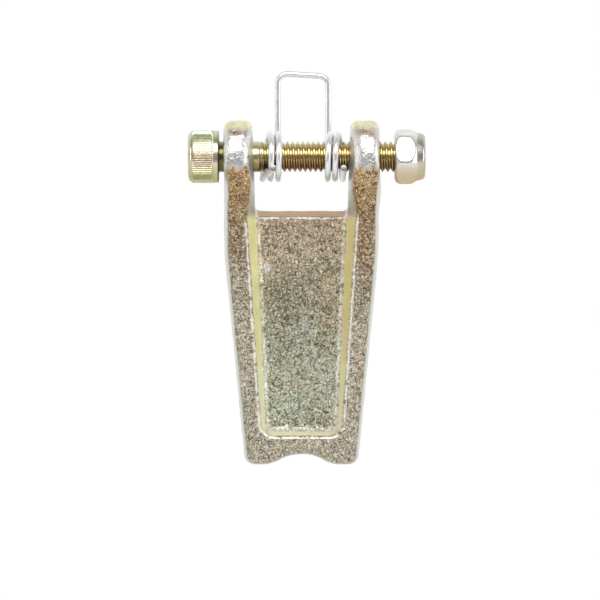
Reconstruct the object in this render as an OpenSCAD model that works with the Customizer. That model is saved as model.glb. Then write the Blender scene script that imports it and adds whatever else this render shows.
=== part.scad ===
// Safety latch kit for a lifting hook: a forged latch on a socket cap screw,
// kept by a nylon insert lock nut and closed by a double torsion spring.
// Units are millimetres. +Z is up, +X runs along the screw towards the nut,
// -Y is the channelled front of the latch. The origin is the centre of the
// pivot axis, midway between the two eyes.

/* [Output] */

/* [Latch] */
// Width over the two eyes, side to side
latch_w = 30.2; // [29.6:0.1:30.8]
// Radius of the rounded eyes
eye_r = 7.0; // [6.6:0.1:7.4]
// Thickness of each eye along the pivot axis
ear_t = 5.8; // [5.4:0.1:6.2]
// Bore in the eyes, a running fit over the screw
pivot_bore_d = 6.16; // [6.08:0.02:6.18]
// Distance from the pivot axis down to the toe
toe_drop = 59.7; // [57:0.1:62]
// Width of the toe, side to side
toe_w = 22.4; // [21.8:0.1:23]
// Height of the arch cut into the toe
toe_arch_h = 2.0; // [1.4:0.1:2.4]
// Distance from the pivot axis back to the flat back face
back_y = 5.0; // [4.6:0.1:5.4]
// Thickness of the web between the back face and the recess floor
web_t = 3.4; // [3:0.1:3.8]
// Height of the window between the eyes, below the pivot axis
window_drop = 10.24; // [9.9:0.02:10.6]

/* [Cap screw] */
// Nominal diameter of the screw
screw_d = 6.0; // [5.98:0.01:6.02]
// Length under the head
screw_l = 40; // [39:1:41]
// Thread pitch
pitch = 1.0; // [1:0.25:1.25]
// Length of thread
thread_l = 31.7; // [24:0.1:32]
// Diameter of the head
head_d = 10.2; // [9.8:0.1:10.6]
// Width across flats of the hexagon socket
socket_af = 5.0; // [4:0.5:5]
// Gap between the head and the left eye
head_gap = 0.9; // [0.6:0.1:1.2]

/* [Lock nut] */
// Width across flats of the nut
nut_af = 10; // [9.8:0.1:10.2]
// Height of the nut with its crown
nut_h = 6.0; // [5.8:0.1:6.2]
// Turn of the nut about the screw
nut_turn = 45; // [0:5:60]
// Bore of the nylon ring as cut by the thread
insert_bore_d = 6.12; // [6.1:0.01:6.16]

/* [Spring] */
// Wire diameter
wire_d = 1.2; // [1.1:0.05:1.25]
// Mean radius of the coils
coil_r = 4.35; // [4.25:0.05:4.45]
// Length of each end leg
leg_l = 12; // [11:0.5:12.5]
// Height of the top bar of the loop above the pivot axis
loop_h = 16.1; // [15:0.1:16.6]

/* [Hidden] */
eps = 0.01;
big = 80;
round_fn = 96;

// latch
half_w = latch_w / 2;
ear_in = half_w - ear_t;
window_top_half = ear_in + 0.3;
window_low_half = ear_in - 0.34;
window_corner_r = 1.1;
floor_y = back_y - web_t;
rail_top_y = -3.0;
rail_toe_y = -0.6;
side_draft = 5;
taper_z = -19;
toe_corner_r = 1.6;
arch_r = 8.9;
lobe_x = 7.5;
neck_front_r = 6;
neck_back_r = 5;
neck_steps = 6;
blend_bite = 0.05;
draft_bite = 0.03;
recess_top_half = 8.6;
recess_low_half = 6.85;
recess_top_z = -13;
recess_low_z = -52;
recess_end_z = -53.1;
wall_draft = 22;
end_draft = 15;
web_slope_h = 1.46;
taper_angle = atan((half_w - toe_w / 2) / (toe_drop - toe_corner_r + taper_z));
recess_angle = atan((recess_top_half - recess_low_half) / (recess_top_z - recess_low_z));

// screw
head_h = screw_d;
under_head_x = -half_w - head_gap;
head_x = under_head_x - head_h;
tip_x = under_head_x + screw_l;
head_round = 1.2;
socket_depth = 3.2;
tip_chamfer = 0.9;
thread_depth = 0.61 * pitch;
thread_count = floor((thread_l - tip_chamfer) / pitch);

// nut
nut_x = tip_x - nut_h;
hex_h = 4.0;
nut_corner_r = 5.62;
nut_face_r = 4.75;
nut_chamfer_h = 0.45;
nut_bore_d = 6.14;
crown_d = 9.3;
crown_neck_d = 8.9;
crown_round = 0.75;
insert_d = 8.1;
insert_h = 1.5;
insert_x = tip_x - 0.45 - insert_h;
insert_play = 0.02;
lip_bore_d = 7.0;

// spring
left_start = 3.80;
left_pitch = 1.50;
left_lean = 0.42;
left_phase = 36;
left_loop_x = 4.62;
left_tip_x = 5.40;
right_start = 4.60;
right_pitch = 1.46;
right_lean = 0.22;
right_phase = 68;
right_loop_x = 5.22;
right_tip_x = 8.08;
leg_rise = 8.6;
coil_turns = 2.25 + leg_rise / 360;
coil_steps = 64;
leg_steps = 8;
wire_sides = 14;
loop_corner_r = 1.9;
loop_steps = 7;
loop_tilt = 0.18;

// draws a profile of (x, z) through the depth from y0 to y1
module through_y(y0, y1) {
    translate([0, y1, 0])
        rotate([90, 0, 0])
            linear_extrude(height = y1 - y0)
                children();
}

// draws a profile of (y, z) along X from x0 to x1
module along_x(x0, x1) {
    translate([x0, 0, 0])
        rotate([90, 0, 90])
            linear_extrude(height = x1 - x0)
                children();
}

// turns a profile of (radius, axial distance) about the screw axis
module turned() {
    rotate([0, 90, 0])
        rotate_extrude($fn = round_fn)
            children();
}

// ---------- latch ----------

// side view of one eye with the rail below it
module side_profile() {
    circle(r = eye_r, $fn = round_fn);
    polygon(concat(
        [[0, 0]],
        neck_arc(rail_top_y, -1, neck_front_r),
        [
            [rail_toe_y, -toe_drop],
            [back_y, -toe_drop]
        ],
        [for (i = [neck_steps : -1 : 0]) neck_arc(back_y, 1, neck_back_r)[i]]
    ));
}

// concave blend from the round of the eye down to a flat face of the rail
function neck_arc(face_y, side, r) =
    let (
        cy = face_y + side * (r - blend_bite),
        cz = -sqrt(pow(eye_r + r - blend_bite, 2) - cy * cy),
        from = atan2(-cz, cy * side)
    )
    [for (i = [0 : neck_steps])
        let (a = from * (1 - i / neck_steps))
        [cy - side * r * cos(a), cz + r * sin(a)]];

// front view of the whole latch, with its tapered sides and toe corners
module front_profile() {
    toe_half = toe_w / 2;
    knee = toe_drop - toe_corner_r;
    difference() {
        union() {
            polygon([
                [-half_w, eye_r + 1],
                [-half_w, taper_z],
                [-toe_half, -knee],
                [toe_half, -knee],
                [half_w, taper_z],
                [half_w, eye_r + 1]
            ]);
            translate([-toe_half + toe_corner_r, -toe_drop])
                square([toe_w - 2 * toe_corner_r, toe_corner_r + 1]);
            for (s = [-1, 1])
                translate([s * (toe_half - toe_corner_r), -knee])
                    circle(r = toe_corner_r, $fn = round_fn);
        }
        toe_arch();
    }
}

// wavy arch of the toe: a shallow arc with rounded lobes on both sides
module toe_arch() {
    lobe_r = (lobe_x * lobe_x - toe_arch_h * (2 * arch_r - toe_arch_h)) / (2 * toe_arch_h);
    arch_z = -toe_drop + toe_arch_h - arch_r;
    share = arch_r / (arch_r + lobe_r);
    join_x = lobe_x * share;
    join_z = arch_z + (-toe_drop + lobe_r - arch_z) * share;
    difference() {
        union() {
            translate([0, arch_z])
                circle(r = arch_r, $fn = round_fn);
            polygon([
                [-join_x, join_z],
                [join_x, join_z],
                [lobe_x, -toe_drop],
                [lobe_x, -toe_drop - 2],
                [-lobe_x, -toe_drop - 2],
                [-lobe_x, -toe_drop]
            ]);
        }
        for (s = [-1, 1])
            translate([s * lobe_x, -toe_drop + lobe_r])
                circle(r = lobe_r + blend_bite, $fn = round_fn);
    }
}

// window between the two eyes
module window_profile() {
    corner = window_corner_r;
    low = -window_drop;
    difference() {
        polygon([
            [-window_top_half, eye_r + 2],
            [-window_low_half, low],
            [window_low_half, low],
            [window_top_half, eye_r + 2]
        ]);
        for (s = [-1, 1])
            translate([s * (window_low_half - corner / 2), low + corner / 2 - eps])
                square([corner + 1, corner + 2 * eps], center = true);
    }
    for (s = [-1, 1])
        translate([s * (window_low_half - corner), low + corner])
            circle(r = corner, $fn = round_fn);
    translate([-window_low_half + corner, low])
        square([2 * (window_low_half - corner), corner]);
}

// solid wedge that takes the forging draft off one side, upper and lower
module side_draft_cut(s) {
    mirror([s > 0 ? 0 : 1, 0, 0]) {
        translate([half_w - draft_bite, back_y, 0])
            rotate([0, 0, -side_draft])
                translate([0, -big, -big])
                    cube([big, big + 4, big * 2]);
        translate([half_w - draft_bite, back_y, taper_z])
            rotate([0, taper_angle, 0])
                rotate([0, 0, -side_draft])
                    translate([0, -big, -big])
                        cube([big, big + 4, big * 2]);
    }
}

// half of the recess, bounded by its drafted side wall and the floor
module recess_half(s) {
    mirror([s > 0 ? 0 : 1, 0, 0])
        intersection() {
            translate([recess_top_half, floor_y, recess_top_z])
                rotate([0, recess_angle, 0])
                    rotate([0, 0, wall_draft])
                        translate([-big, -big, -big])
                            cube([big, big * 2, big * 2]);
            translate([-eps, floor_y - big, -big])
                cube([big, big, big * 2]);
        }
}

// recess in the front, open at the top and closed above the toe
module recess() {
    intersection() {
        union() {
            recess_half(-1);
            recess_half(1);
        }
        translate([-big / 2, floor_y, recess_end_z])
            rotate([-end_draft, 0, 0])
                translate([0, -big, 0])
                    cube([big, big * 2, big]);
        translate([-big / 2, -big, -big])
            cube([big, big * 2, big - eye_r + 0.5]);
    }
}

// drafted strip along the top of the web
module web_slope_cut() {
    slope = web_slope_h / web_t;
    low_half = recess_top_half;
    along_x(-low_half, low_half)
        polygon([
            [back_y + eps, -window_drop + eps * slope],
            [floor_y - 4, -window_drop - slope * (web_t + 4)],
            [floor_y - 4, -window_drop + 1],
            [back_y + eps, -window_drop + 1]
        ]);
}

module latch_body() {
    color("silver")
        difference() {
            intersection() {
                along_x(-half_w, half_w)
                    side_profile();
                through_y(-eye_r - 1, eye_r + 1)
                    front_profile();
            }
            through_y(-eye_r - 2, eye_r + 2)
                window_profile();
            side_draft_cut(-1);
            side_draft_cut(1);
            recess();
            web_slope_cut();
            rotate([0, 90, 0])
                cylinder(d = pivot_bore_d, h = latch_w + 4, center = true, $fn = round_fn);
        }
}

// ---------- cap screw ----------

// outline of the shank with ring grooves standing for the thread
function thread_outline(i) = [
    [screw_d / 2, tip_x - tip_chamfer - i * pitch],
    [screw_d / 2 - thread_depth, tip_x - tip_chamfer - (i + 0.5) * pitch]
];

module shank_profile() {
    grooves = [for (i = [0 : thread_count - 1]) each thread_outline(i)];
    polygon(concat(
        [
            [0, tip_x],
            [screw_d / 2 - tip_chamfer, tip_x]
        ],
        grooves,
        [
            [screw_d / 2, tip_x - tip_chamfer - thread_count * pitch],
            [screw_d / 2, under_head_x - 1],
            [0, under_head_x - 1]
        ]
    ));
}

module head_profile() {
    r = head_d / 2;
    translate([0, head_x + head_round])
        square([r, head_h - head_round]);
    translate([0, head_x])
        square([r - head_round, head_round + 1]);
    translate([r - head_round, head_x + head_round])
        circle(r = head_round, $fn = round_fn);
}

module cap_screw() {
    color("goldenrod")
        difference() {
            union() {
                turned()
                    head_profile();
                turned()
                    shank_profile();
            }
            translate([head_x - 1, 0, 0])
                rotate([0, 90, 0])
                    cylinder(d = socket_af / cos(30), h = socket_depth + 1, $fn = 6);
        }
}

// ---------- lock nut and its nylon ring ----------

module nut_blank() {
    translate([nut_x, 0, 0])
        rotate([nut_turn, 0, 0])
            rotate([0, 90, 0])
                cylinder(d = nut_af / cos(30), h = hex_h, $fn = 6);
}

// turned envelope that chamfers both ends of the hexagon
module nut_envelope() {
    turned()
        polygon([
            [0, nut_x],
            [nut_face_r, nut_x],
            [nut_corner_r, nut_x + nut_chamfer_h],
            [nut_corner_r, nut_x + hex_h - nut_chamfer_h],
            [nut_face_r, nut_x + hex_h],
            [0, nut_x + hex_h]
        ]);
}

// round crown that holds the nylon ring, rolled over at its end
module crown() {
    r = crown_d / 2;
    translate([nut_x + hex_h - 1, 0, 0])
        rotate([0, 90, 0])
            cylinder(d = crown_neck_d, h = 1.4, $fn = round_fn);
    turned() {
        translate([0, nut_x + hex_h + 0.15])
            square([r, nut_h - hex_h - 0.15 - crown_round]);
        translate([0, tip_x - crown_round - eps])
            square([r - crown_round, crown_round + eps]);
        translate([r - crown_round, tip_x - crown_round])
            circle(r = crown_round, $fn = round_fn);
    }
}

module lock_nut() {
    color("lightgray")
        difference() {
            union() {
                intersection() {
                    nut_blank();
                    nut_envelope();
                }
                crown();
            }
            translate([nut_x - 1, 0, 0])
                rotate([0, 90, 0])
                    cylinder(d = nut_bore_d, h = nut_h + 2, $fn = round_fn);
            translate([insert_x - insert_play, 0, 0])
                rotate([0, 90, 0])
                    cylinder(d = insert_d + 2 * insert_play, h = insert_h + 2 * insert_play, $fn = round_fn);
            translate([insert_x, 0, 0])
                rotate([0, 90, 0])
                    cylinder(d = lip_bore_d, h = nut_h, $fn = round_fn);
        }
}

module nut_insert() {
    color("aliceblue")
        translate([insert_x, 0, 0])
            rotate([0, 90, 0])
                difference() {
                    cylinder(d = insert_d, h = insert_h, $fn = round_fn);
                    translate([0, 0, -1])
                        cylinder(d = insert_bore_d, h = insert_h + 2, $fn = round_fn);
                }
}

// ---------- spring ----------

function unit(v) = v / norm(v);
function smooth(t) = t <= 0 ? 0 : t >= 1 ? 1 : t * t * (3 - 2 * t);

// distance out along the screw at a number of turns from the back of the coil
function coil_x(t, start, step, lean, phase) = start + step * t + lean * sin(360 * t + phase);

// point on the coil, which leaves the back going down and winds outwards
function coil_point(t, side, start, step, lean, phase) = [
    side * coil_x(t, start, step, lean, phase),
    coil_r * cos(360 * t),
    -coil_r * sin(360 * t)
];

// point on the straight end leg, u from 0 at the coil to 1 at the cut end
function leg_point(u, side, from_x, to_x) = [
    side * (from_x + (to_x - from_x) * (0.25 * smooth(u) + 0.75 * u)),
    coil_r * cos(360 * coil_turns) - u * leg_l * cos(leg_rise),
    -coil_r * sin(360 * coil_turns) + u * leg_l * sin(leg_rise)
];

function coil_path(side, start, step, lean, phase, tip) = concat(
    [for (i = [0 : coil_steps])
        coil_point(coil_turns * i / coil_steps, side, start, step, lean, phase)],
    [for (i = [1 : leg_steps])
        leg_point(i / leg_steps, side, coil_x(coil_turns, start, step, lean, phase), tip)]
);

// side wire of the loop, which leans from the coil to its own width as it rises
function loop_side(side, u, from_x, to_x) = [
    side * (from_x + (to_x - from_x) * smooth((u * loop_h - 1.2) / 5)),
    coil_r,
    u * (loop_h - loop_corner_r + side * -loop_tilt)
];

function loop_corner(side, a, at_x) = [
    side * (at_x - loop_corner_r + loop_corner_r * cos(a)),
    coil_r,
    loop_h - side * loop_tilt - loop_corner_r + loop_corner_r * sin(a)
];

function left_foot() = coil_x(0, left_start, left_pitch, left_lean, left_phase);
function right_foot() = coil_x(0, right_start, right_pitch, right_lean, right_phase);

function loop_path() = concat(
    [for (i = [0 : 2 * loop_steps - 1])
        loop_side(-1, i / (2 * loop_steps), left_foot(), left_loop_x)],
    [for (i = [0 : loop_steps])
        loop_corner(-1, 90 * i / loop_steps, left_loop_x)],
    [for (i = [0 : loop_steps])
        loop_corner(1, 90 - 90 * i / loop_steps, right_loop_x)],
    [for (i = [2 * loop_steps - 1 : -1 : 0])
        loop_side(1, i / (2 * loop_steps), right_foot(), right_loop_x)]
);

// direction of travel at one point of a path, square to the ends
function heading(path, i, first, last) =
    i == 0 ? first :
    i == len(path) - 1 ? last :
    unit(path[i + 1] - path[i - 1]);

function ring(at, go, ref) =
    let (u = unit(ref - (ref * go) * go), v = cross(go, u))
    [for (k = [0 : wire_sides - 1])
        at + wire_d / 2 * (cos(360 * k / wire_sides) * u + sin(360 * k / wire_sides) * v)];

// round wire swept along a path
module wire(path, ref, first, last) {
    n = wire_sides;
    m = len(path);
    points = [for (i = [0 : m - 1]) each ring(path[i], heading(path, i, first, last), ref)];
    sides = [for (i = [0 : m - 2]) for (k = [0 : n - 1])
        each [
            [i * n + k, (i + 1) * n + k, (i + 1) * n + (k + 1) % n],
            [i * n + k, (i + 1) * n + (k + 1) % n, i * n + (k + 1) % n]
        ]];
    ends = [
        [for (k = [0 : n - 1]) k],
        [for (k = [n - 1 : -1 : 0]) (m - 1) * n + k]
    ];
    polyhedron(points = points, faces = concat(sides, ends), convexity = 8);
}

module spring_left_coil() {
    path = coil_path(-1, left_start, left_pitch, left_lean, left_phase, left_tip_x);
    color("gainsboro")
        wire(path, [1, 0, 0], [0, 0, -1], unit([0, -cos(leg_rise), sin(leg_rise)]));
}

module spring_right_coil() {
    path = coil_path(1, right_start, right_pitch, right_lean, right_phase, right_tip_x);
    color("gainsboro")
        wire(path, [1, 0, 0], [0, 0, -1], unit([0, -cos(leg_rise), sin(leg_rise)]));
}

module spring_loop() {
    color("gainsboro")
        wire(loop_path(), [0, 1, 0], [0, 0, 1], [0, 0, -1]);
}

latch_body();
cap_screw();
lock_nut();
nut_insert();
spring_left_coil();
spring_right_coil();
spring_loop();
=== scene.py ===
"""Safety latch kit: forged latch, socket cap screw, lock nut and double torsion spring.

Shapes are built in millimetres in the row frame and stored in metres. The
screw's axis is X, the latch hangs down -Z and its channel faces -Y.
"""

import math

import bmesh
import bpy
import numpy as np
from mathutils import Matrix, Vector, noise


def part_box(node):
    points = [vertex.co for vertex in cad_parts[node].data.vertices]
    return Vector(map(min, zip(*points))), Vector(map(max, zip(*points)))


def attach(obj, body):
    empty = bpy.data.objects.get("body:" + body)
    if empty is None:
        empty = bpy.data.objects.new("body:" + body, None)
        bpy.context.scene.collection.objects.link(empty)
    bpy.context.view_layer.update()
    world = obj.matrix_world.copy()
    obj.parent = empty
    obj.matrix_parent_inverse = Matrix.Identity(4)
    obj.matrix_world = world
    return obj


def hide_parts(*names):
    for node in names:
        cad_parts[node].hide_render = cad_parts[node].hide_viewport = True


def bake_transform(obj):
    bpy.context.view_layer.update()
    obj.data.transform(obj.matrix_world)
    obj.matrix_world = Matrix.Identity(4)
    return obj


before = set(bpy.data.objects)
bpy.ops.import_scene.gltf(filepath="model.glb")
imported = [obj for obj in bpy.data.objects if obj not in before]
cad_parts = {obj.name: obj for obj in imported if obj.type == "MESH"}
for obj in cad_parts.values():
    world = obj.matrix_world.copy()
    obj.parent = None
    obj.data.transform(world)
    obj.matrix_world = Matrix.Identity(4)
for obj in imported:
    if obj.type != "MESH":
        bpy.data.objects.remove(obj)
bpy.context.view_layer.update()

MM = 0.001


def box_mm(node):
    """Lowest and highest corner of a CAD node, in millimetres."""
    low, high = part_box(node)
    return np.array(low) / MM, np.array(high) / MM


latch_low, latch_high = box_mm("latch_body")
screw_low, screw_high = box_mm("cap_screw")
nut_low, nut_high = box_mm("lock_nut")
ring_low, ring_high = box_mm("nut_insert")
loop_low, loop_high = box_mm("spring_loop")
_, coil_high = box_mm("spring_right_coil")

# ---------------------------------------------------------------- fields


def smooth_step(v, low, high):
    """0 below low, 1 above high, and smooth between them."""
    t = np.clip((v - low) / (high - low), 0, 1)
    return t * t * (3 - 2 * t)


def soft_over(v, width):
    """v where it is above nought, fading to nought below it."""
    return width * np.logaddexp(0, v / width)


def bell(v, centre, width):
    """1 at centre, falling away to either side over about width."""
    return np.exp(-(((v - centre) / width) ** 2))


def join_round(a, b, r):
    """Union of two fields with a fillet of radius r."""
    return np.maximum(r, np.minimum(a, b)) - np.hypot(np.maximum(r - a, 0), np.maximum(r - b, 0))


def cut_round(a, b, r):
    """Intersection of two fields with its edge rounded to radius r."""
    return np.minimum(-r, np.maximum(a, b)) + np.hypot(np.maximum(r + a, 0), np.maximum(r + b, 0))


def gradient(field, points, h=0.02):
    """Field and its slope at points."""
    x, y, z = points.T
    rise = [
        field(x + h, y, z) - field(x - h, y, z),
        field(x, y + h, z) - field(x, y - h, z),
        field(x, y, z + h) - field(x, y, z - h),
    ]
    return field(x, y, z), np.stack(rise, axis=1) / (2 * h)


def crossing_points(value, cell, low, step):
    """Mean of the places where a field changes sign on the edges of each cell."""
    place = np.zeros((len(cell), 3))
    crossings = np.zeros(len(cell))
    for axis in range(3):
        first, second = [a for a in range(3) if a != axis]
        for p in (0, 1):
            for q in (0, 1):
                near = np.zeros(3, dtype=int)
                near[first], near[second] = p, q
                far = near.copy()
                far[axis] = 1
                va = value[tuple((cell + near).T)]
                vb = value[tuple((cell + far).T)]
                hit = (va < 0) != (vb < 0)
                t = np.where(hit, va / np.where(hit, va - vb, 1), 0)
                place[:, axis] += np.where(hit, t, 0)
                place[:, first] += np.where(hit, p, 0)
                place[:, second] += np.where(hit, q, 0)
                crossings += hit
    return low + step * (cell + place / crossings[:, None])


def crossing_quads(inside, index, count):
    """One quad around each grid edge whose ends lie on different sides of the surface."""
    quads = []
    for axis in range(3):
        u, v = [(1, 2), (2, 0), (0, 1)][axis]
        lo_slice = [slice(None)] * 3
        hi_slice = [slice(None)] * 3
        lo_slice[axis] = slice(0, -1)
        hi_slice[axis] = slice(1, None)
        a, b = inside[tuple(lo_slice)], inside[tuple(hi_slice)]
        edge = np.argwhere(a != b)
        keep = (edge[:, u] > 0) & (edge[:, v] > 0)
        keep &= (edge[:, u] < count[u] - 1) & (edge[:, v] < count[v] - 1)
        edge = edge[keep]
        outward = a[tuple(edge.T)]
        ring = []
        for du, dv in ((-1, -1), (0, -1), (0, 0), (-1, 0)):
            c = edge.copy()
            c[:, u] += du
            c[:, v] += dv
            ring.append(index[tuple(c.T)])
        ring = np.stack(ring, axis=1)
        ring[~outward] = ring[~outward][:, ::-1]
        quads.append(ring)
    return np.concatenate(quads)


def surface_net(field, low, high, step):
    """Points and quads of the zero level of a field, in millimetres."""
    count = np.ceil((high - low) / step).astype(int) + 1
    axes = [low[i] + step * np.arange(count[i]) for i in range(3)]
    gx, gy, gz = np.meshgrid(*axes, indexing="ij")
    value = field(gx, gy, gz).astype(np.float32)
    inside = value < 0
    corners_in = np.zeros(tuple(count - 1), dtype=np.uint8)
    for i in (0, 1):
        for j in (0, 1):
            for k in (0, 1):
                corners_in += inside[
                    i : count[0] - 1 + i, j : count[1] - 1 + j, k : count[2] - 1 + k
                ]
    cell = np.argwhere((corners_in > 0) & (corners_in < 8))
    index = -np.ones(tuple(count - 1), dtype=np.int64)
    index[tuple(cell.T)] = np.arange(len(cell))

    points = crossing_points(value, cell, low, step)
    for _ in range(2):
        distance, slope = gradient(field, points)
        steepness = np.maximum((slope**2).sum(axis=1), 0.2)
        points = points - (distance / steepness)[:, None] * slope * 0.9
    return points, crossing_quads(inside, index, count)


# ---------------------------------------------------------------- mesh tools


def make_object(name, points, faces):
    """Smooth-shaded object from points in millimetres."""
    mesh = bpy.data.meshes.new(name)
    points = np.asarray(points, dtype=np.float64) * MM
    faces = [tuple(int(i) for i in f) for f in faces]
    mesh.from_pydata([tuple(p) for p in points], [], faces)
    mesh.validate(verbose=False)
    mesh.update()
    mesh.shade_smooth()
    obj = bpy.data.objects.new(name, mesh)
    bpy.context.scene.collection.objects.link(obj)
    return obj


def soften_edges(obj, degrees):
    """Keeps shading smooth except across edges sharper than this."""
    obj.data.set_sharp_from_angle(angle=math.radians(degrees))


def add_mask(obj, name, values):
    """One number for each point of a mesh, for its material to read."""
    layer = obj.data.attributes.new(name, "FLOAT", "POINT")
    layer.data.foreach_set("value", np.asarray(values, dtype=np.float32))


def grid_faces(rows, columns, close_rows=False):
    """Quads over a grid of rows, where each row is a closed ring."""
    faces = []
    for i in range(rows if close_rows else rows - 1):
        a, b = i * columns, (i + 1) % rows * columns
        for k in range(columns):
            k2 = (k + 1) % columns
            faces.append((a + k, a + k2, b + k2, b + k))
    return faces


def about_x(x, r, angle):
    """Points at distance x along the screw, radius r and angle up from -Y."""
    x, r, angle = np.broadcast_arrays(x, r, angle)
    return np.stack([x, -r * np.cos(angle), r * np.sin(angle)], axis=-1)


def around(columns):
    """Angles of the points of one ring."""
    return np.linspace(0, 2 * np.pi, columns, endpoint=False)


def ring_solid(name, profile, columns, radius_at=None):
    """Ring turned about X from a closed profile of (x, r); radius_at may reshape r by angle."""
    angle = around(columns)[None, :]
    x = np.array([p[0] for p in profile])[:, None]
    r = np.array([p[1] for p in profile])[:, None] + 0 * angle
    if radius_at is not None:
        r = radius_at(x, r, angle)
    points = about_x(x, r, angle).reshape(-1, 3)
    return make_object(name, points, grid_faces(len(profile), columns, close_rows=True))


def arc(cx, cr, radius, start, stop, steps):
    """Points (x, r) on an arc of a profile, angles in degrees from +x."""
    return [
        (cx + radius * math.cos(math.radians(a)), cr + radius * math.sin(math.radians(a)))
        for a in np.linspace(start, stop, steps)
    ]


# ---------------------------------------------------------------- latch body

HALF_W = latch_high[0]
EYE_R = latch_high[2]
TOE_Z = latch_low[2]
# the flat back and the channel's floor
BACK_Y = 5.0
FLOOR_Y = 1.6
# heights of the window's lower edge, the start of the taper and the recess's end
WINDOW_Z = -10.24
TAPER_Z = -18.5
RECESS_END_Z = -53.1
TOE_HALF = 11.2
TOE_ROUND = 1.7
BORE_R = 3.08
BORE_EDGE_R = 0.3
# the flat part below the eyes starts here and meets them with this fillet
SLAB_TOP_Z = -4.6
EYE_FILLET = 4.6
# roundings of the web's upper edge, the channel's corners and its foot
WEB_LIP_R = 0.45
CHANNEL_CORNER_R = 2.2
FLOOR_FILLET = 1.0
# how far a channel wall leans outwards for each millimetre towards the front
WALL_LEAN = 0.43
# draft of the latch's sides below the eyes, and the swelling of its right neck
SIDE_DRAFT = 0.085
NECK_SWELL = 0.42
NECK_Z = -6.0
NET_STEP = 0.235
# heights of the hammer's waves, the coarse skin and the eyes' dents; the waves
# keep clear of the bore
WAVE_H = 0.028
WAVE_FROM_R = 3.6
COARSE_H = 0.05
FINE_H = 0.008
DENT_H = 0.045


def rail_front(z):
    """Y of the rails' front faces, which come nearer the back towards the toe."""
    top_y, rise, top_z, length = -3.0, 2.4, -9.0, 49.0
    return top_y + rise * np.clip((top_z - z) / length, -0.2, 1.1)


def toe_line(x):
    """Height of the toe's lower edge: a shallow arch between two rounded lobes."""
    ax = np.abs(x)
    arch_h, arch_r, lobe_x = 2.0, 8.9, 7.7
    lobe_r = (lobe_x**2 - arch_h * (2 * arch_r - arch_h)) / (2 * arch_h)
    arch_z = TOE_Z + arch_h - arch_r
    join_x = lobe_x * arch_r / (arch_r + lobe_r)
    arch = arch_z + np.sqrt(np.maximum(arch_r**2 - ax**2, 0.01))
    lobe = TOE_Z + lobe_r - np.sqrt(np.maximum(lobe_r**2 - (ax - lobe_x) ** 2, 0.01))
    return np.where(ax < join_x, arch, np.where(ax < lobe_x, lobe, TOE_Z))


def outer_half(x, y, z):
    """Half-width of the latch over its sides."""
    slope = (HALF_W - TOE_HALF) / (TAPER_Z - TOE_Z - TOE_ROUND)
    half = HALF_W - 0.02 - slope * soft_over(TAPER_Z - z, 1.2)
    half = half + np.where(x > 0, NECK_SWELL, 0.0) * bell(z, NECK_Z, 3.4)
    draft = SIDE_DRAFT * smooth_step(-z, 1.0, 8.0)
    return half - draft * np.maximum(BACK_Y - y, -1.0)


def inner_half(y, z):
    """Half-width of the open space between the eyes and in the channel."""
    eyes = 8.96 + 0.035 * (z - WINDOW_Z)
    channel = 8.6 + 0.0449 * (z + 13.0)
    t = smooth_step(z, -13.2, -10.4)
    base = eyes * t + channel * (1 - t)
    lean_from = FLOOR_Y + (-3.9 - FLOOR_Y) * smooth_step(z, -13.0, -3.5)
    return base + WALL_LEAN * soft_over(lean_from - y, 0.25)


def forging_wave(x, y, z):
    """Slow unevenness of a hammered surface, about one unit high."""
    return (
        np.sin(0.9 * x + 0.35 * z + 1.0) * np.sin(0.41 * z - 0.5 * y)
        + 0.7 * np.sin(0.23 * z + 0.6 * x) * np.sin(0.55 * x - 0.31 * z + 2.0)
        + 0.5 * np.sin(1.3 * z + 0.4 * x + 0.8 * y)
    )


def latch_blank(x, y, z):
    """Signed distance to the latch without its channel, window and bore."""
    side = (np.abs(x) - outer_half(x, y, z)) * 0.99
    slab = np.maximum(np.maximum(y - BACK_Y, rail_front(z) - y), z - SLAB_TOP_Z)
    eye = np.hypot(y, z) - EYE_R
    profile = join_round(eye, slab, EYE_FILLET)
    plan = cut_round(side, toe_line(x) - z, TOE_ROUND)
    edge = 0.85 + 0.75 * smooth_step(z, -7.0, 3.0) + 0.25 * smooth_step(-z, 52, 58)
    back_edge = 0.55 * smooth_step(y, 0, 4)
    return cut_round(profile, plan, edge - back_edge)


def latch_opening(x, y, z):
    """Signed distance to the window and the channel in front of the web."""
    above_web = WINDOW_Z - WALL_LEAN * np.maximum(BACK_Y - y, 0) - z
    before_floor = y - FLOOR_Y
    passage = join_round(above_web, before_floor, WEB_LIP_R)
    channel_end = RECESS_END_Z + 0.12 - 0.55 * soft_over(FLOOR_Y - y, 0.3) - z
    walls = cut_round(np.abs(x) - inner_half(y, z), channel_end, CHANNEL_CORNER_R)
    return cut_round(walls, passage, FLOOR_FILLET)


def latch_field(x, y, z):
    """Signed distance, roughly, to the latch's surface, in millimetres."""
    from_axis = np.hypot(y, z)
    ridge = 0.6 + 0.8 * smooth_step(z, -9.0, -1.0)
    body = cut_round(latch_blank(x, y, z), -latch_opening(x, y, z), ridge)
    body = cut_round(body, BORE_R - from_axis, BORE_EDGE_R)
    return body + WAVE_H * forging_wave(x, y, z) * (from_axis > WAVE_FROM_R)


def coarse_skin(points, normals):
    """Where the forging keeps its coarse skin: its front and back faces below the eyes."""
    front = smooth_step(-normals[:, 1], 0.45, 0.8)
    back = 0.8 * smooth_step(normals[:, 1], 0.5, 0.9)
    patchy = 0.9 * np.sin(2.3 * points[:, 0] + 1.1) + 0.5 * np.sin(5.1 * points[:, 0])
    below_eye = smooth_step(-points[:, 2] + 0.5 * patchy, 1.7, 3.3)
    return np.maximum(front, back) * below_eye


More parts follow.
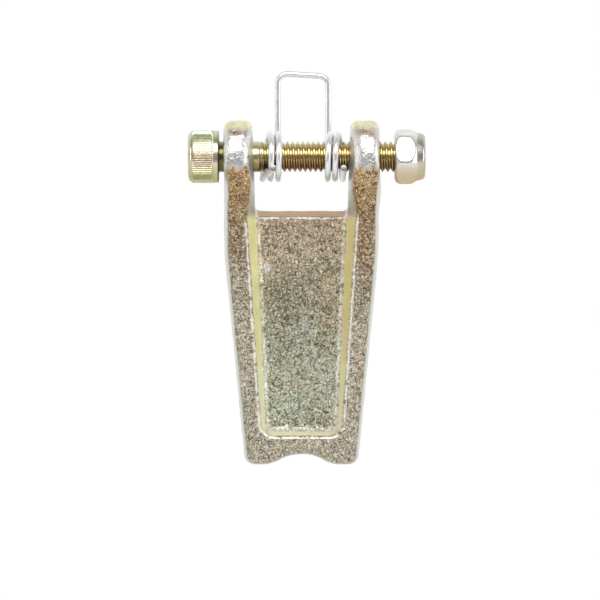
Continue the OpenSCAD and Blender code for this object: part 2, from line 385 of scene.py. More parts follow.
def roughen(points, normals, grain):
    """Moves points along their normals by the forging's grain and dents."""
    bump = np.array(
        [
            noise.noise(Vector((p[0] * 1.9, p[1] * 1.9, p[2] * 1.9)))
            + 0.5 * noise.noise(Vector((p[0] * 3.6 + 7, p[1] * 3.6, p[2] * 3.6)))
            for p in points
        ]
    )
    dents = np.array(
        [noise.noise(Vector((p[0] * 0.8, p[1] * 0.8, p[2] * 0.8 + 3))) for p in points]
    )
    height = bump * (COARSE_H * grain + FINE_H) + DENT_H * dents * (1 - grain)
    swell_room = [0.4, 0, 0]
    return np.clip(points + normals * height[:, None], latch_low, latch_high + swell_room)


def latch_masks(x, y, z, normals, grain):
    """The regions of the latch that its material colours differently, by name."""
    toward_middle = -normals[:, 0] * np.sign(x)
    inward = np.maximum(toward_middle, normals[:, 2] * (z < -50))
    in_channel = (y < FLOOR_Y + 0.3) * (np.abs(x) < 11.2) * (z > -56.5)
    in_channel = in_channel * smooth_step(-z, 10.6, 12.4)
    near_rail = smooth_step(rail_front(z) + 1.5 - y, 0.0, 0.5)
    on_web = (np.abs(z + 11.2) < 2.0) * (np.abs(x) < 9.0) * (y > 0.4)
    panel = smooth_step(-normals[:, 1], 0.5, 0.85) * (np.abs(y - FLOOR_Y) < 0.7) * (z < -9)
    spot = panel * bell(x, -6.5, 0.9) * bell(z, -21.5, 0.9)
    # painted highlight: the web's rounded upper edge, where the key light catches it
    lip = bell(normals[:, 2], 0.42, 0.2) * on_web
    # painted highlight: the rounded edges of the rails along the channel
    ridge = bell(inward, 0.36, 0.2) * in_channel * near_rail
    return {
        "spot": spot,
        "cloud": panel * bell(x, 0.4, 2.6) * bell(z, -34.5, 3.38),
        "shade": bell(x, -3.4, 3.0) * bell(z, -31, 7.5),
        "warm": bell(x, 5.2, 1.8) * bell(z, -25, 8.0),
        "eye_face": 1 - smooth_step(np.abs(np.abs(x) - 12.2), 1.1, 2.0),
        "grain": grain * (1 - 0.8 * spot),
        "wall": smooth_step(inward, 0.5, 0.8) * in_channel,
        "ridge": np.maximum(ridge, lip),
        # painted highlight: a pale line along the fillet at the channel's floor
        "foot": bell(inward, 0.5, 0.22) * in_channel * (1 - near_rail),
        "strip": smooth_step(normals[:, 2], 0.6, 0.85) * on_web,
        "edge": smooth_step(-toward_middle, 0.3, 0.7) * smooth_step(-z, 9, 14),
        "panel": panel,
    }


def build_latch():
    room = 0.9
    points, quads = surface_net(latch_field, latch_low - room, latch_high + room, NET_STEP)
    _, slope = gradient(latch_field, points)
    normals = slope / np.linalg.norm(slope, axis=1)[:, None]
    grain = coarse_skin(points, normals)
    latch = make_object("latch_forging", roughen(points, normals, grain), quads)
    for name, values in latch_masks(*points.T, normals, grain).items():
        add_mask(latch, name, values)
    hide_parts("latch_body")
    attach(latch, "latch")
    return latch


# ---------------------------------------------------------------- cap screw

HEAD_X = screw_low[0]
HEAD_H = 6.0
UNDER_HEAD_X = HEAD_X + HEAD_H
HEAD_R = screw_high[2]
HEAD_CORNER_R = 1.3
UNDER_EDGE_R = 0.28
SOCKET_HALF = 2.5
SOCKET_MOUTH_HALF = 2.55
SOCKET_TURN = 0.2
BAND_END_X = UNDER_HEAD_X - 1.05
KNURL_GROOVES = 66
KNURL_DEPTH = 0.16
TIP_X = screw_high[0]
SCREW_R = 3.0
PITCH = 1.0
THREAD_DEPTH = 0.6
CREST_CLEARANCE = 0.03
THREAD_START_X = -7.7
TIP_R = 2.25


def hexagon_edge(angle, half_flats):
    """Radius of a hexagon's outline at an angle, with flats half_flats from its centre."""
    sector = np.pi / 3
    off = (angle + sector / 2) % sector - sector / 2
    return half_flats / np.cos(off)


def head_profile():
    """(x, r, kind) from the bottom of the socket, over the knurl, to the shank."""
    profile = [(HEAD_X + 3.5, 0.02, "turned"), (HEAD_X + 3.2, 1.0, "turned")]
    profile += [(HEAD_X + d, SOCKET_HALF, "socket") for d in (3.05, 3.0, 2.0, 1.0, 0.45, 0.3)]
    profile += [(HEAD_X + 0.12, 2.62, "socket"), (HEAD_X, 2.95, "mouth")]
    profile += [(HEAD_X, 3.3, "turned"), (HEAD_X, 3.7, "turned")]
    corner_x, corner_r = HEAD_X + HEAD_CORNER_R, HEAD_R - HEAD_CORNER_R
    profile += [(x, r, "knurl") for x, r in arc(corner_x, corner_r, HEAD_CORNER_R, 180, 90, 24)]
    profile += [(x, HEAD_R, "knurl") for x in np.linspace(corner_x + 0.1, BAND_END_X, 22)]
    profile += [(BAND_END_X + d, HEAD_R - 0.02, "turned") for d in (0.06, 0.2, 0.5, 0.75)]
    edge = arc(UNDER_HEAD_X - UNDER_EDGE_R, HEAD_R - 0.3, UNDER_EDGE_R, 90, 0, 6)
    profile += [(x, r, "turned") for x, r in edge]
    profile += [(UNDER_HEAD_X, HEAD_R - 0.7, "turned"), (UNDER_HEAD_X, 3.35, "turned")]
    profile += [(UNDER_HEAD_X + 0.08, 3.1, "turned")]
    return profile


def head_radius(x, r, kind, angle):
    """Radius of one ring of the head by angle."""
    if kind == "socket":
        return hexagon_edge(angle + SOCKET_TURN, r)
    if kind == "mouth":
        return np.maximum(r, hexagon_edge(angle + SOCKET_TURN, SOCKET_MOUTH_HALF))
    if kind == "knurl":
        depth = KNURL_DEPTH * smooth_step(BAND_END_X - x, 0.0, 0.3)
        groove = (0.5 - 0.5 * np.cos(KNURL_GROOVES * angle)) ** 4
        return np.minimum(r, HEAD_R - depth * groove)
    return np.full(len(angle), r)


def build_head():
    """Points and faces of the screw's head."""
    columns = 8 * KNURL_GROOVES
    angle = around(columns)
    rows = [about_x(x, head_radius(x, r, kind, angle), angle) for x, r, kind in head_profile()]
    return np.concatenate(rows), grid_faces(len(rows), columns)


def thread_radius(x, phase):
    """Radius of the shank at x, for a phase from 0 to 1 across one thread."""
    crest_end, root_start = 0.14, 0.88
    across = (np.abs(phase - 0.5) * 2 - crest_end) / (root_start - crest_end)
    tooth = np.clip(across, 0, 1)
    tooth = tooth * (1 - 0.25 * np.sin(np.pi * tooth) * (1 - tooth))
    fade = smooth_step(x, THREAD_START_X - 0.9, THREAD_START_X + 0.9)
    r = SCREW_R - CREST_CLEARANCE - THREAD_DEPTH * tooth * fade
    chamfer = TIP_R + (TIP_X - x)
    return np.minimum(r, np.maximum(chamfer, 2.2))


def shank_grid(columns):
    """Points of the shank in rows that follow the thread's helix."""
    rows_per_pitch = 14
    tuck = 0.4
    angle = np.linspace(0, 2 * np.pi, columns + 1)[None, :]
    shank_from = UNDER_HEAD_X - tuck
    first = math.floor((shank_from / PITCH - 1) * rows_per_pitch)
    last = math.ceil(TIP_X / PITCH * rows_per_pitch)
    turns = np.arange(first, last + 1)[:, None] / rows_per_pitch
    x = np.clip((turns - angle / (2 * np.pi) + 1) * PITCH, shank_from, TIP_X)
    return about_x(x, thread_radius(x, turns % 1.0), angle)


def build_screw():
    points, faces = build_head()
    columns = 96
    wide = columns + 1
    shank = shank_grid(columns)
    first, tip_centre = len(points), len(points) + shank.shape[0] * wide
    points = np.concatenate([points, shank.reshape(-1, 3), [[TIP_X, 0, 0]]])
    for i in range(shank.shape[0] - 1):
        for k in range(columns):
            a = first + i * wide + k
            faces.append((a, a + 1, a + wide + 1, a + wide))
    end = tip_centre - wide
    faces += [(end + k, end + k + 1, tip_centre) for k in range(columns)]
    obj = make_object("cap_screw_threaded", points, faces)

    bm = bmesh.new()
    bm.from_mesh(obj.data)
    bmesh.ops.remove_doubles(bm, verts=bm.verts, dist=0.002 * MM)
    bmesh.ops.dissolve_degenerate(bm, edges=bm.edges, dist=0.001 * MM)
    bm.to_mesh(obj.data)
    bm.free()
    soften_edges(obj, 32)
    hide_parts("cap_screw")
    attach(obj, "screw")
    return obj


# ---------------------------------------------------------------- lock nut

NUT_X = nut_low[0]
NUT_END_X = nut_high[0]
NUT_TURN = math.radians(15)
HALF_FLATS = 4.92
# largest radius of the nut where its hexagon's corners were
CREST_R = 5.52
HEX_END_X = NUT_X + 4.6
POCKET_R = 4.07


def straight(start, stop):
    """Points of a straight stretch of a profile, without its last one."""
    return [tuple(p) for p in np.linspace(start, stop, 7)[:-1]]


def nut_profile():
    """(x, r) once round the nut's wall: over its outside, then back through its bore."""
    face_r, bend_r, rim_r, lip_r = 1.5, 2.0, 0.9, 0.12
    face = arc(NUT_X + face_r, CREST_R - face_r, face_r, 180, 90, 18)
    bend = arc(NUT_X + 2.5, CREST_R - bend_r, bend_r, 90, 57, 9)
    shoulder = (NUT_X + 4.3, 4.735)
    rim = arc(NUT_END_X - rim_r, 3.6, rim_r, 74, 5, 12)
    lip = arc(NUT_END_X - 0.14, 3.55, lip_r, 60, -90, 5)
    pocket_from, pocket_to = ring_low[0] - 0.03, ring_high[0] + 0.03
    profile = [(NUT_X + 0.35, 3.12), (NUT_X + 0.05, 3.4), (NUT_X, 3.6)]
    profile += face + bend[:-1] + straight(bend[-1], shoulder) + straight(shoulder, rim[0]) + rim
    profile += [(NUT_END_X - 0.02, 3.6)] + lip
    profile += [(NUT_END_X - 0.4, 3.4), (pocket_to, 3.45), (pocket_to, POCKET_R)]
    profile += [(pocket_from, POCKET_R), (pocket_from, 3.4), (ring_low[0] - 0.1, 3.12)]
    return profile


def nut_radius(x, r, angle):
    """Profile radius cut down to softened hexagon flats, where the nut has them."""
    flat_power, cut_power = 60, 70.0
    flats = [np.abs(np.cos(angle - NUT_TURN - k * np.pi / 3)) ** flat_power for k in range(3)]
    hexagon = HALF_FLATS / sum(flats) ** (1 / flat_power)
    cut = (r**-cut_power + hexagon**-cut_power) ** (-1 / cut_power)
    return np.where((x < HEX_END_X) & (r > 4.0), cut, r)


def build_nut():
    obj = ring_solid("lock_nut_steel", nut_profile(), 480, nut_radius)
    soften_edges(obj, 30)
    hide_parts("lock_nut")
    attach(obj, "nut")
    return obj


def build_insert():
    low, high = ring_low[0], ring_high[0]
    inner, outer = 3.07, ring_high[2] - 0.02
    profile = [(low + 0.1, inner), (low, inner + 0.12), (low, outer - 0.1), (low + 0.1, outer)]
    profile += [(high - 0.1, outer), (high, outer - 0.12), (high - 0.02, 3.6)]
    profile += [(high - 0.12, 3.3), (high - 0.3, 3.12), (high - 0.45, inner)]
    obj = ring_solid("nylon_ring", profile, 144)
    soften_edges(obj, 50)
    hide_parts("nut_insert")
    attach(obj, "insert")
    return obj


# ---------------------------------------------------------------- spring

WIRE_R = (loop_high[1] - loop_low[1]) / 2
WIRE_SIDES = 28
COIL_R = coil_high[2] - WIRE_R
BAIL_TILT = 0.18
BAIL_TOP_Z = loop_high[2] - WIRE_R - BAIL_TILT
BAIL_CORNER_R = 1.9
LEG_RISE_DEG = 8.6
LEG_L = 12.0
LEG_WAY = np.array(
    [0.0, -math.cos(math.radians(LEG_RISE_DEG)), math.sin(math.radians(LEG_RISE_DEG))]
)
COIL_TURNS = 2.25 + LEG_RISE_DEG / 360

# each side's coil starts at x = start and moves out by pitch for each turn, with a
# lean that swings at its phase; the bail's upright stands at loop, the leg ends at tip
LEFT = {
    "side": -1, "start": 3.80, "pitch": 1.50, "lean": 0.42, "phase": 36,
    "loop": 4.62, "tip": 5.40,
}
RIGHT = {
    "side": 1, "start": 4.60, "pitch": 1.46, "lean": 0.22, "phase": 68,
    "loop": 5.22, "tip": 8.08,
}


def coil_out(s, t):
    """Distance of a coil's wire from the middle after t turns."""
    swing = np.sin(2 * np.pi * t + math.radians(s["phase"]))
    return s["start"] + s["pitch"] * t + s["lean"] * swing


def coil_path(s, steps):
    t = np.linspace(0, COIL_TURNS, steps)
    turn = 2 * np.pi * t
    along = s["side"] * coil_out(s, t)
    return np.stack([along, COIL_R * np.cos(turn), -COIL_R * np.sin(turn)], axis=1)


def leg_path(s, steps):
    u = np.linspace(0, 1, steps)
    from_x = coil_out(s, COIL_TURNS)
    x = s["side"] * (from_x + (s["tip"] - from_x) * (0.25 * smooth_step(u, 0, 1) + 0.75 * u))
    root = coil_path(s, 2)[-1]
    path = root + u[:, None] * LEG_L * LEG_WAY
    path[:, 0] = x
    return path


def upright_path(s, steps):
    """One side of the bail, from the coil to its corner."""
    u = np.linspace(0, 1, steps)
    z = u * (BAIL_TOP_Z - BAIL_CORNER_R - s["side"] * BAIL_TILT)
    foot = coil_out(s, 0.0)
    x = s["side"] * (foot + (s["loop"] - foot) * smooth_step(u * BAIL_TOP_Z, 1.2, 6.2))
    return np.stack([x, np.full(steps, COIL_R), z], axis=1)


def corner_path(s, steps):
    a = np.linspace(0, np.pi / 2, steps)
    x = s["side"] * (s["loop"] - BAIL_CORNER_R + BAIL_CORNER_R * np.cos(a))
    z = BAIL_TOP_Z - s["side"] * BAIL_TILT - BAIL_CORNER_R + BAIL_CORNER_R * np.sin(a)
    return np.stack([x, np.full(steps, COIL_R), z], axis=1)


def bail_path():
    left, right = corner_path(LEFT, 18), corner_path(RIGHT, 18)
    across = np.linspace(left[-1], right[-1], 14)[1:-1]
    uprights = [upright_path(s, 60)[:-1] for s in (LEFT, RIGHT)]
    return np.concatenate([uprights[0], left, across, right[::-1], uprights[1][::-1]])


def tube(name, path, ref, first, last=None, cut_end=False):
    """Round wire along a path that leaves along first; a cut end is slightly rounded."""
    go = np.gradient(path, axis=0)
    go[0] = first
    if last is not None:
        go[-1] = last
    go /= np.linalg.norm(go, axis=1)[:, None]
    u = ref - (go @ ref)[:, None] * go
    u /= np.linalg.norm(u, axis=1)[:, None]
    v = np.cross(go, u)
    a = around(WIRE_SIDES)[None, :, None]
    spokes = WIRE_R * (np.cos(a) * u[:, None, :] + np.sin(a) * v[:, None, :])
    rows = list(path[:, None, :] + spokes)
    if cut_end:
        rows.pop()
        for back, share in ((0.1, 1.0), (0.03, 0.95), (0.0, 0.82), (0.0, 0.3)):
            rows.append(path[-1] - go[-1] * back + spokes[-1] * share)
    faces = grid_faces(len(rows), WIRE_SIDES)
    if cut_end:
        end = (len(rows) - 1) * WIRE_SIDES
        faces.append(tuple(range(end, end + WIRE_SIDES)))
    return make_object(name, np.concatenate(rows), faces)


def build_spring():
    """The coils turn from the legs' body to the bail's along the screw."""
    along = np.array([1.0, 0.0, 0.0])
    up = np.array([0.0, 0.0, 1.0])
    made = []
    for s, name in ((LEFT, "left"), (RIGHT, "right")):
        coil = tube(f"spring_coil_{name}", coil_path(s, 220), along, -up, LEG_WAY)
        leg = tube(f"spring_leg_{name}", leg_path(s, 60), along, LEG_WAY, cut_end=True)
        soften_edges(leg, 50)
        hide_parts(f"spring_{name}_coil")
        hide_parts(f"spring_{name}_coil")
        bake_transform(coil)
        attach(leg, "spring")
        made += [coil, leg]
    loop = tube("spring_bail", bail_path(), np.array([0.0, 1.0, 0.0]), up, -up)
    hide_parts("spring_loop")
    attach(loop, "loop")
    made.append(loop)
    return made


# ---------------------------------------------------------------- materials


def tint(red, green, blue):
    """Linear colour from display values out of 255."""
    out = []
    for c in (red, green, blue):
        c = c / 255
        out.append(c / 12.92 if c <= 0.04045 else ((c + 0.055) / 1.055) ** 2.4)
    return (*out, 1.0)


class Nodes:
    """Short calls for building one material's nodes."""

    def __init__(self, name):
        self.material = bpy.data.materials.new(name)
        self.material.use_nodes = True
        self.tree = self.material.node_tree
        self.shader = self.tree.nodes["Principled BSDF"]
        self.place = self.add("ShaderNodeTexCoord").outputs["Object"]

    def add(self, kind, **values):
        node = self.tree.nodes.new(kind)
        for key, value in values.items():
            setattr(node, key, value)
        return node

    def link(self, source, target):
        self.tree.links.new(source, target)

    def feed(self, socket, value):
        if isinstance(value, bpy.types.NodeSocket):
            self.link(value, socket)
        else:
            socket.default_value = value

    def noise(self, scale, detail=3.0, rough=0.55, distort=0.0):
        node = self.add("ShaderNodeTexNoise")
        self.link(self.place, node.inputs["Vector"])
        node.inputs["Scale"].default_value = scale
        node.inputs["Detail"].default_value = detail
        node.inputs["Roughness"].default_value = rough
        node.inputs["Distortion"].default_value = distort
        return node.outputs["Fac"]

    def cell_edges(self, scale):
        node = self.add("ShaderNodeTexVoronoi", feature="DISTANCE_TO_EDGE")
        self.link(self.place, node.inputs["Vector"])
        node.inputs["Scale"].default_value = scale
        return node.outputs["Distance"]

    def math(self, kind, a, b=0.0, c=0.0, clamp=False):
        node = self.add("ShaderNodeMath", operation=kind, use_clamp=clamp)
        self.feed(node.inputs[0], a)
        self.feed(node.inputs[1], b)
        self.feed(node.inputs[2], c)
        return node.outputs[0]

    def times(self, a, b, clamp=False):
        return self.math("MULTIPLY", a, b, clamp=clamp)

    def times_add(self, a, factor, more):
        return self.math("MULTIPLY_ADD", a, factor, more)

    def less(self, a, b, clamp=False):
        return self.math("SUBTRACT", a, b, clamp=clamp)

    def ramp(self, value, low, high):
        node = self.add("ShaderNodeMapRange", interpolation_type="SMOOTHSTEP")
        self.feed(node.inputs["Value"], value)
        node.inputs["From Min"].default_value = low
        node.inputs["From Max"].default_value = high
        return node.outputs["Result"]

    def mask(self, name):
        return self.add("ShaderNodeAttribute", attribute_name=name).outputs["Fac"]

    def axis(self, index):
        node = self.add("ShaderNodeSeparateXYZ")
        self.link(self.place, node.inputs[0])
        return node.outputs[index]

    def mix(self, share, a, b):
        node = self.add("ShaderNodeMix", data_type="RGBA", blend_type="MIX")
        self.feed(node.inputs[0], share)
        self.feed(node.inputs[6], a)
        self.feed(node.inputs[7], b)
        return node.outputs[2]

    def bump(self, height, distance, strength=1.0, before=None):
        node = self.add("ShaderNodeBump")
        self.feed(node.inputs["Height"], height)
        node.inputs["Distance"].default_value = distance
        self.feed(node.inputs["Strength"], strength)
        if before is not None:
            self.link(before, node.inputs["Normal"])
        return node.outputs["Normal"]

    def finish(self, colour, metal, rough, normal):
        self.feed(self.shader.inputs["Base Color"], colour)
        self.feed(self.shader.inputs["Metallic"], metal)
        self.feed(self.shader.inputs["Roughness"], rough)
        self.link(normal, self.shader.inputs["Normal"])
        return self.material


def forged_skin(n):
    """Height of the coarse skin: worm-like seams, small cells and hollows between them."""
    worms = n.noise(1080, 2.5, 0.6, 0.9)
    seams = n.ramp(n.math("ABSOLUTE", n.less(worms, 0.5)), 0.004, 0.042)
    cells = n.ramp(n.cell_edges(1650), 0.0, 0.2)
    hollows = n.ramp(n.noise(1500, 2.0, 0.5, 0.6), 0.32, 0.46)
    skin = n.times(seams, n.times_add(cells, 0.45, 0.55))
    return n.times(skin, n.times_add(hollows, 0.6, 0.4))


def web_colour(n, height):
    """Pinkish at the top, dark grey-green in the middle, green-grey below."""
    x, z = n.axis(0), n.axis(2)
    pinkish, dark_green, grey_green = tint(255, 240, 226), tint(206, 202, 176), tint(238, 246, 216)
    web = n.mix(n.ramp(height, -0.0165, -0.0235), pinkish, dark_green)
    web = n.mix(n.ramp(height, -0.030, -0.042), web, grey_green)
    low, right = n.ramp(height, -0.033, -0.044), n.ramp(x, 0.0005, 0.0055)
    web = n.mix(n.times(low, right, clamp=True), web, tint(255, 255, 236))
    web = n.mix(n.times(n.mask("shade"), 0.6), web, tint(150, 152, 116))
    web = n.mix(n.times(n.mask("warm"), 0.6), web, tint(244, 222, 186))
    web = n.mix(n.times(n.mask("cloud"), 0.5), web, tint(206, 214, 212))
    bloom = n.times(n.ramp(n.noise(170, 3.0, 0.6, 0.5), 0.46, 0.62), n.ramp(z, -0.026, -0.036))
    return n.mix(n.times(bloom, 0.55), web, tint(240, 255, 242))


def coarse_colour(n, height, fleck, specks):
    """The web and the rails, with flecks of pink and green, and bright specks painted as glints.
    """
    rails = n.mix(n.ramp(height, -0.002, -0.0155), tint(250, 200, 140), tint(190, 158, 120))
    rails = n.mix(n.ramp(height, -0.019, -0.031), rails, tint(244, 230, 200))
    coarse = n.mix(n.mask("panel"), rails, web_colour(n, height))
    coarse = n.mix(n.times(fleck, 0.35), coarse, tint(240, 200, 172))
    green = n.ramp(n.noise(300, 3.0, 0.6, 0.4), 0.5, 0.7)
    coarse = n.mix(n.times(green, 0.3), coarse, tint(190, 212, 166))
    # painted highlight: the bright specks are painted as glints of the key light
    glint = n.mix(n.ramp(height, -0.010, -0.026), tint(255, 226, 180), tint(255, 250, 232))
    return n.mix(n.times(specks, 0.95), coarse, glint)


def eye_colour(n, specks):
    """Smooth zinc on the eyes: yellower on top, with a brown ring and pits on their faces."""
    z = n.axis(2)
    face = n.mask("eye_face")
    zinc = n.mix(n.ramp(z, 0.0042, 0.0062), tint(242, 242, 240), tint(252, 250, 206))
    zinc = n.mix(n.ramp(n.noise(45, 2.0, 0.5), 0.5, 0.72), zinc, tint(236, 218, 208))
    mottle = n.ramp(n.noise(640, 4.0, 0.65, 0.6), 0.46, 0.64)
    on_top = n.times(mottle, n.ramp(z, 0.0035, 0.0056))
    zinc = n.mix(n.times(on_top, 0.75), zinc, tint(226, 212, 162))
    pitted = n.times(n.ramp(n.noise(1500, 3.0, 0.65), 0.52, 0.62), face)
    pitted = n.times(pitted, n.ramp(z, 0.0012, -0.0004))
    zinc = n.mix(n.times(pitted, 0.5), zinc, tint(150, 148, 124))
    zinc = n.mix(n.ramp(z, -0.009, -0.016), zinc, tint(226, 226, 212))
    # painted shade: the eyes' faces greyer below their middle
    zinc = n.mix(n.ramp(z, 0.0012, -0.0008), zinc, tint(216, 219, 214))
    wavy_z = n.math("ADD", z, n.times(n.less(n.noise(500, 3.0), 0.5), 0.003))
    ring = n.times(n.ramp(wavy_z, 0.0036, 0.0042), n.ramp(wavy_z, 0.0050, 0.0043))
    ring = n.times(ring, face)
    zinc = n.mix(n.times(ring, 0.8), zinc, tint(206, 174, 154))
    zinc = n.mix(n.times(ring, specks), zinc, tint(150, 116, 96))
    return n.mix(n.mask("spot"), zinc, tint(226, 232, 228))


def wall_colour(n, height, fleck):
    """Olive on the side walls, with pink on the right one, and paler to the toe."""
    patches = n.ramp(n.noise(420, 3.0, 0.6, 0.5), 0.36, 0.62)
    left = n.mix(patches, tint(253, 253, 192), tint(246, 242, 170))
    right = n.mix(n.ramp(fleck, 0.2, 0.8), tint(236, 226, 150), tint(250, 212, 176))
    olive = n.mix(n.ramp(n.axis(0), -0.004, 0.004), left, right)
    washed = n.times_add(n.ramp(height, -0.032, -0.048), 0.5, 0.08)
    return n.mix(washed, olive, tint(246, 247, 228))


def forged_relief(n, skin, open_skin, specks, pits, drift):
    """Normal of the forging: coarse skin, fine pits, and dents where it is smooth."""
    grain, wall = n.mask("grain"), n.mask("wall")
    high = n.math("ADD", skin, n.times(specks, 0.6))
    normal = n.bump(high, 0.00019, open_skin)
    normal = n.bump(pits, 0.00002, n.times_add(grain, 0.6, 0.2), normal)
    smooth_part = n.less(1.0, n.math("MAXIMUM", grain, wall), clamp=True)
    normal = n.bump(n.noise(1000, 3.0, 0.6), 0.0003, n.times(smooth_part, 0.8), normal)
    normal = n.bump(n.noise(2600, 3.0, 0.6), 0.00008, n.times(smooth_part, 0.7), normal)
    return n.bump(drift, 0.0008, 0.2, normal)


def forged_material():
    n = Nodes("forged_zinc")
    grain, wall = n.mask("grain"), n.mask("wall")
    drift = n.noise(95, 3.0, 0.6)
    height = n.math("ADD", n.axis(2), n.times(n.less(drift, 0.5), 0.03))
    skin = forged_skin(n)
    specks = n.ramp(n.noise(1900, 2.0, 0.6, 0.5), 0.47, 0.58)
    fleck = n.ramp(n.noise(420, 3.0, 0.7), 0.46, 0.66)
    pits = n.noise(3600, 2.0, 0.5)

    colour = n.mix(grain, eye_colour(n, specks), coarse_colour(n, height, fleck, specks))
    colour = n.mix(n.times(n.mask("edge"), 0.7), colour, tint(222, 220, 204))
    colour = n.mix(wall, colour, wall_colour(n, height, fleck))
    brown = n.mix(n.ramp(drift, 0.4, 0.6), tint(190, 142, 120), tint(200, 168, 132))
    colour = n.mix(n.mask("strip"), colour, brown)
    # painted highlight: the ridges, the web's lip and the channel's foot are painted near white
    # and less metallic, broken up by noise
    painted_edge_highlight = n.math("MAXIMUM", n.mask("ridge"), n.times(n.mask("foot"), 0.55), clamp=True)
    broken_edge_highlight = n.times(painted_edge_highlight, n.ramp(n.noise(900, 2.0, 0.6), 0.34, 0.5))
    colour = n.mix(broken_edge_highlight, colour, tint(252, 251, 248))
    open_skin = n.times(grain, n.less(1.0, broken_edge_highlight), clamp=True)
    # painted shade: the hollows of the coarse skin are darkened nearly to black-brown
    crevice_shade = n.times(n.less(1.0, skin), open_skin)
    colour = n.mix(n.times(crevice_shade, 0.9), colour, tint(56, 44, 28))

    rough = n.math("ADD", n.times_add(pits, 0.12, 0.25), n.times(grain, 0.1))
    metal = n.times_add(n.math("MAXIMUM", wall, broken_edge_highlight), -0.55, 0.92)
    return n.finish(colour, metal, rough, forged_relief(n, skin, open_skin, specks, pits, drift))


def shank_colour(n, drift):
    """Yellow zinc, darker on the lower side of the thread as painted shade."""
    gold = n.mix(n.ramp(drift, 0.4, 0.65), tint(224, 211, 164), tint(212, 202, 158))
    gold = n.mix(n.ramp(n.noise(90, 2.0), 0.45, 0.6), gold, tint(224, 206, 158))
    # painted shade: the lower side of the shank browner and darker
    return n.mix(n.ramp(n.axis(2), 0.0004, -0.0018), gold, tint(160, 134, 96))


def head_colour(n, drift):
    """Paler than the shank, yellower above and below, with greenish blotches; the darkening below
    is painted shade.
    """
    z = n.axis(2)
    head = n.mix(n.ramp(drift, 0.42, 0.6), tint(236, 226, 204), tint(232, 216, 200))
    # painted shade: the lower side of the head darker; its yellower tint is the zinc's own
    head = n.mix(n.ramp(z, -0.001, -0.0034), head, tint(212, 206, 156))
    head = n.mix(n.ramp(z, 0.0030, 0.0041), head, tint(246, 246, 208))
    blotches = n.ramp(n.noise(520, 3.0, 0.6, 0.5), 0.5, 0.66)
    return n.mix(n.times(blotches, 0.5), head, tint(186, 188, 136))


def screw_material():
    n = Nodes("yellow_zinc")
    x, z = n.axis(0), n.axis(2)
    drift = n.noise(180, 3.0, 0.6)
    fine = n.noise(3200, 2.0, 0.5)
    colour = n.mix(n.ramp(x, -0.0164, -0.0158), head_colour(n, drift), shank_colour(n, drift))
    # painted shadow: the shank in the gap between the head and the latch's eye is darkened
    painted_neck_shadow = n.times(n.ramp(x, -0.0146, -0.0151), n.ramp(x, -0.0164, -0.0160))
    colour = n.mix(painted_neck_shadow, colour, tint(110, 104, 64))
    upper_left = n.times(n.ramp(z, 0.0014, 0.0036), n.ramp(x, -0.004, -0.008))
    colour = n.mix(n.times(upper_left, 0.7), colour, tint(202, 214, 176))
    wear = n.ramp(n.noise(700, 4.0, 0.7), 0.58, 0.72)
    colour = n.mix(n.times(wear, 0.35), colour, tint(240, 236, 226))
    normal = n.bump(fine, 0.00002, 0.5)
    normal = n.bump(drift, 0.0003, 0.12, normal)
    return n.finish(colour, 1.0, n.times_add(fine, 0.18, 0.14), normal)


def nut_material():
    n = Nodes("bright_zinc")
    drift = n.noise(170, 3.0, 0.6)
    fine = n.noise(2800, 2.0, 0.5)
    silver = n.mix(n.ramp(drift, 0.4, 0.62), tint(248, 247, 243), tint(236, 236, 228))
    # painted shade: the domed crown darker than the hexagon, toning down its reflection
    crown_from, crown_to = NUT_END_X * MM - 0.0018, NUT_END_X * MM - 0.0013
    crown = n.ramp(n.axis(0), crown_from, crown_to)
    silver = n.mix(n.times(crown, 0.8), silver, tint(200, 196, 182))
    patches = n.ramp(n.noise(420, 3.0, 0.6, 0.8), 0.4, 0.62)
    blush = n.mix(patches, tint(230, 190, 160), tint(204, 208, 150))
    low = n.ramp(n.axis(2), -0.0006, -0.0042)
    colour = n.mix(n.times(low, 0.9), silver, blush)
    normal = n.bump(fine, 0.000012, 0.5)
    normal = n.bump(drift, 0.0004, 0.15, normal)
    return n.finish(colour, 1.0, n.times_add(fine, 0.16, 0.2), normal)


def wire_material():
    n = Nodes("spring_wire")
    drift = n.noise(220, 3.0, 0.6)
    drawn = n.noise(2200, 3.0, 0.6)
    colour = n.mix(n.ramp(drift, 0.4, 0.65), tint(252, 253, 254), tint(246, 247, 248))
    scuff = n.ramp(n.noise(900, 4.0, 0.7), 0.6, 0.7)
    colour = n.mix(n.times(scuff, 0.35), colour, tint(186, 184, 180))
    # painted shade: the legs' cut ends darker grey, holding back their highlight
    cut_end = n.ramp(n.axis(1), -0.01236, -0.01246)
    colour = n.mix(cut_end, colour, tint(156, 158, 152))
    normal = n.bump(drawn, 0.00001, 0.4)
    return n.finish(colour, 0.85, n.times_add(drawn, 0.16, 0.22), normal)


def nylon_material():
    n = Nodes("nylon")
    drift = n.noise(300, 3.0, 0.6)
    fine = n.noise(2500, 3.0, 0.6)
    colour = n.mix(drift, tint(236, 234, 224), tint(220, 218, 206))
    n.shader.inputs["Subsurface Weight"].default_value = 0.15
    n.shader.inputs["Subsurface Radius"].default_value = (0.001, 0.001, 0.001)
    return n.finish(colour, 0.0, n.times_add(fine, 0.2, 0.38), n.bump(fine, 0.00002, 0.5))


# ---------------------------------------------------------------- assemble

latch = build_latch()
screw = build_screw()
nut = build_nut()
insert = build_insert()
spring = build_spring()

latch.data.materials.append(forged_material())
screw.data.materials.append(screw_material())
nut.data.materials.append(nut_material())
insert.data.materials.append(nylon_material())
wire = wire_material()
for piece in spring:
    piece.data.materials.append(wire)

# ---------------------------------------------------------------- stage, light, camera

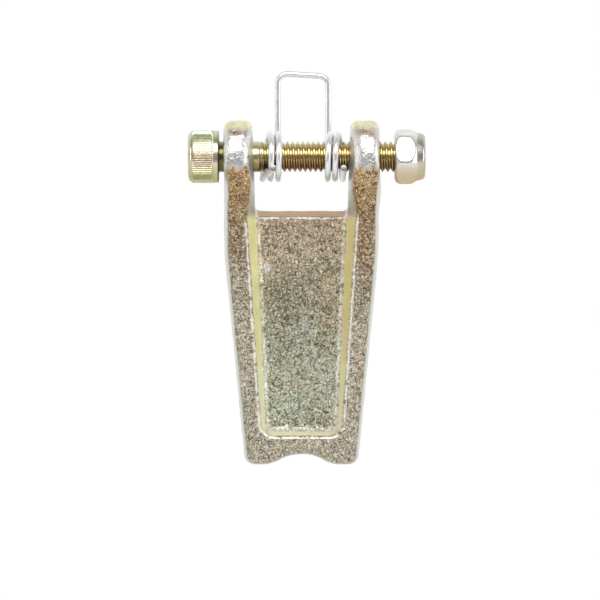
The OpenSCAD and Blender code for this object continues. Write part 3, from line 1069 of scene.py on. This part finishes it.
FLOOR_Z = -0.13
FLOOR_HALF = 0.3
FLOOR_COLOUR = (0.82, 0.82, 0.82, 1.0)
FLOOR_ROUGH = 0.6
WHITE = (1.0, 1.0, 1.0, 1.0)
LAMP_TARGET = (0.001, 0.0, -0.022)
ROOM_STEPS = [(0.0, 0.26), (0.15, 0.25), (0.36, 0.26), (0.6, 0.7), (0.8, 0.88), (1.0, 0.92)]
VIEW_WIDTH = 116.39 * MM
VIEW_CENTRE_X = -0.29 * MM
VIEW_CENTRE_Z = -27.80 * MM
LENS = 300.0
SENSOR_WIDTH = 36.0

scene = bpy.context.scene
scene.view_settings.view_transform = "Standard"


def add_floor():
    material = bpy.data.materials.new("pale_floor")
    material.use_nodes = True
    shader = material.node_tree.nodes["Principled BSDF"]
    shader.inputs["Base Color"].default_value = FLOOR_COLOUR
    shader.inputs["Roughness"].default_value = FLOOR_ROUGH
    mesh = bpy.data.meshes.new("floor")
    ways = ((-1, -1), (1, -1), (1, 1), (-1, 1))
    corners = [(FLOOR_HALF * x, FLOOR_HALF * y, FLOOR_Z) for x, y in ways]
    mesh.from_pydata(corners, [], [(0, 1, 2, 3)])
    mesh.materials.append(material)
    obj = bpy.data.objects.new("floor", mesh)
    scene.collection.objects.link(obj)


def soft_box(name, place, width, height, power):
    lamp = bpy.data.lights.new(name, "AREA")
    lamp.shape = "RECTANGLE"
    lamp.size = width
    lamp.size_y = height
    lamp.energy = power
    obj = bpy.data.objects.new(name, lamp)
    scene.collection.objects.link(obj)
    obj.location = place
    way = Vector(LAMP_TARGET) - Vector(place)
    obj.rotation_euler = way.to_track_quat("-Z", "Y").to_euler()


def studio_world():
    """White to the camera; for reflections a room that is bright behind and dim in front."""
    world = bpy.data.worlds.new("studio")
    scene.world = world
    world.use_nodes = True
    tree = world.node_tree
    seen = tree.nodes["Background"]
    seen.inputs["Color"].default_value = WHITE
    room = tree.nodes.new("ShaderNodeBackground")
    way = tree.nodes.new("ShaderNodeTexCoord")
    split = tree.nodes.new("ShaderNodeSeparateXYZ")
    tree.links.new(way.outputs["Generated"], split.inputs[0])
    shift = tree.nodes.new("ShaderNodeMapRange")
    shift.inputs["From Min"].default_value = -1.0
    tree.links.new(split.outputs["Y"], shift.inputs["Value"])
    band = tree.nodes.new("ShaderNodeValToRGB")
    tree.links.new(shift.outputs["Result"], band.inputs["Fac"])
    while len(band.color_ramp.elements) < len(ROOM_STEPS):
        band.color_ramp.elements.new(0.5)
    for element, (place, value) in zip(band.color_ramp.elements, ROOM_STEPS):
        element.position = place
        element.color = (value, value, value, 1.0)
    tree.links.new(band.outputs["Color"], room.inputs["Color"])
    path = tree.nodes.new("ShaderNodeLightPath")
    choose = tree.nodes.new("ShaderNodeMixShader")
    tree.links.new(path.outputs["Is Camera Ray"], choose.inputs[0])
    tree.links.new(room.outputs[0], choose.inputs[1])
    tree.links.new(seen.outputs[0], choose.inputs[2])
    tree.links.new(choose.outputs[0], tree.nodes["World Output"].inputs["Surface"])


def add_camera():
    data = bpy.data.cameras.new("camera")
    data.lens = LENS
    data.sensor_width = SENSOR_WIDTH
    data.clip_start = 0.05
    data.clip_end = 20.0
    camera = bpy.data.objects.new("camera", data)
    scene.collection.objects.link(camera)
    distance = VIEW_WIDTH * LENS / SENSOR_WIDTH
    camera.location = (VIEW_CENTRE_X, -distance, VIEW_CENTRE_Z)
    camera.rotation_euler = (math.radians(90), 0.0, 0.0)
    scene.camera = camera


studio_world()
add_floor()
soft_box("key", (0.0, -0.46, 0.364), 0.5, 0.34, 2.3)
soft_box("left", (-0.5, -0.2, 0.05), 0.15, 0.4, 0.45)
soft_box("right", (0.5, -0.2, 0.05), 0.15, 0.4, 0.7)
add_camera()
